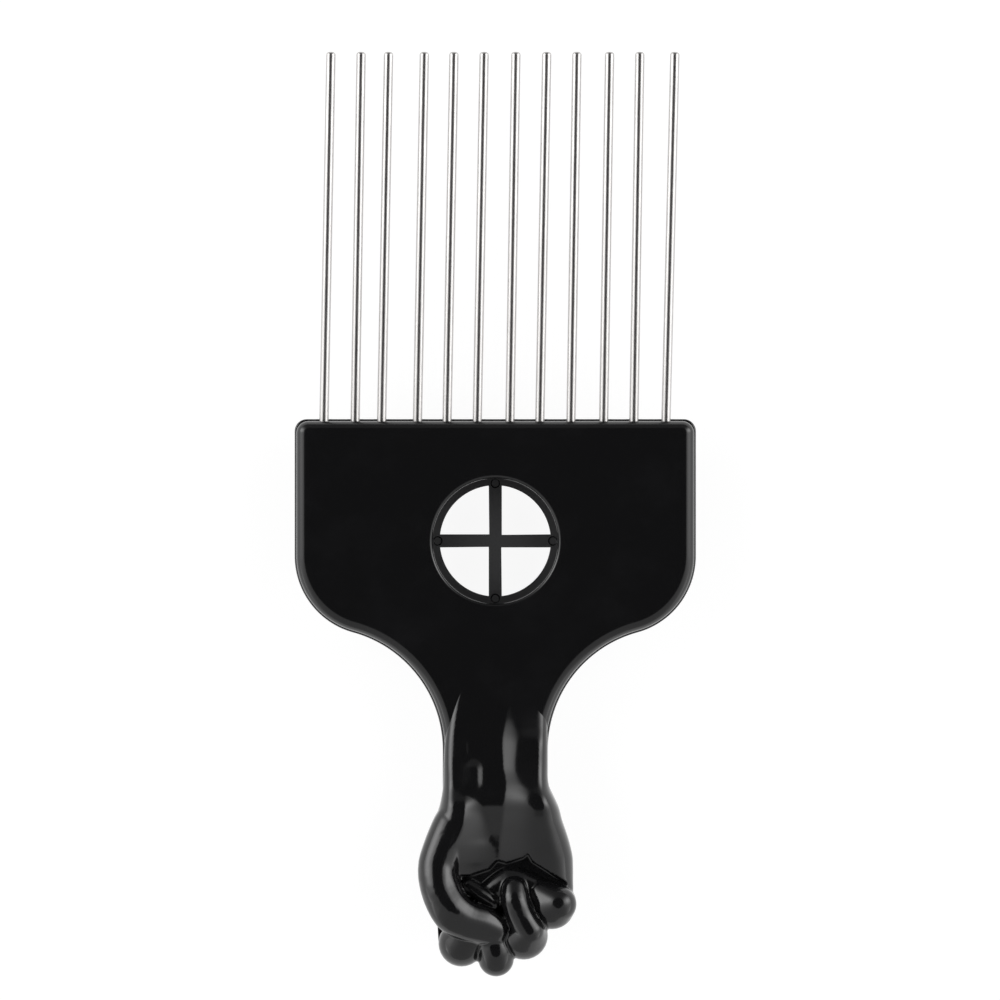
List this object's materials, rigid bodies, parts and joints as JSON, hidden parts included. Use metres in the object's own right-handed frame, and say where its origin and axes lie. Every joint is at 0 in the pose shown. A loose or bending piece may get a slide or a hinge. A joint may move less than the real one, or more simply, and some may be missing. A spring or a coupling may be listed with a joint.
{
  "type": "afro pick",
  "caption": "Flat hair pick with a row of long round steel tines gripped in a two-part black plastic plate, whose handle ends in a clenched fist.",
  "frame": {"origin": "middle of the bounding box across and along the pick, at the level of the knuckles' backs", "axes": "+X to the right when the palm side faces up, +Y along the tines towards their tips, +Z out of the palm side, square to the plate"},
  "size_m": [0.0764, 0.1756, 0.0224],
  "materials": {
    "black_plastic": "smooth moulded black, glossy outside and matt on the recessed ring and cross",
    "tine_steel": "drawn steel wire, bright plated"
  },
  "bodies": {
    "root": {"front_shell": "black_plastic", "rear_shell": "black_plastic", "tine_01": "tine_steel", "tine_02": "tine_steel", "tine_03": "tine_steel", "tine_04": "tine_steel", "tine_05": "tine_steel", "tine_06": "tine_steel", "tine_07": "tine_steel", "tine_08": "tine_steel", "tine_09": "tine_steel", "tine_10": "tine_steel", "tine_11": "tine_steel", "tine_12": "tine_steel"}
  },
  "joints": []
}
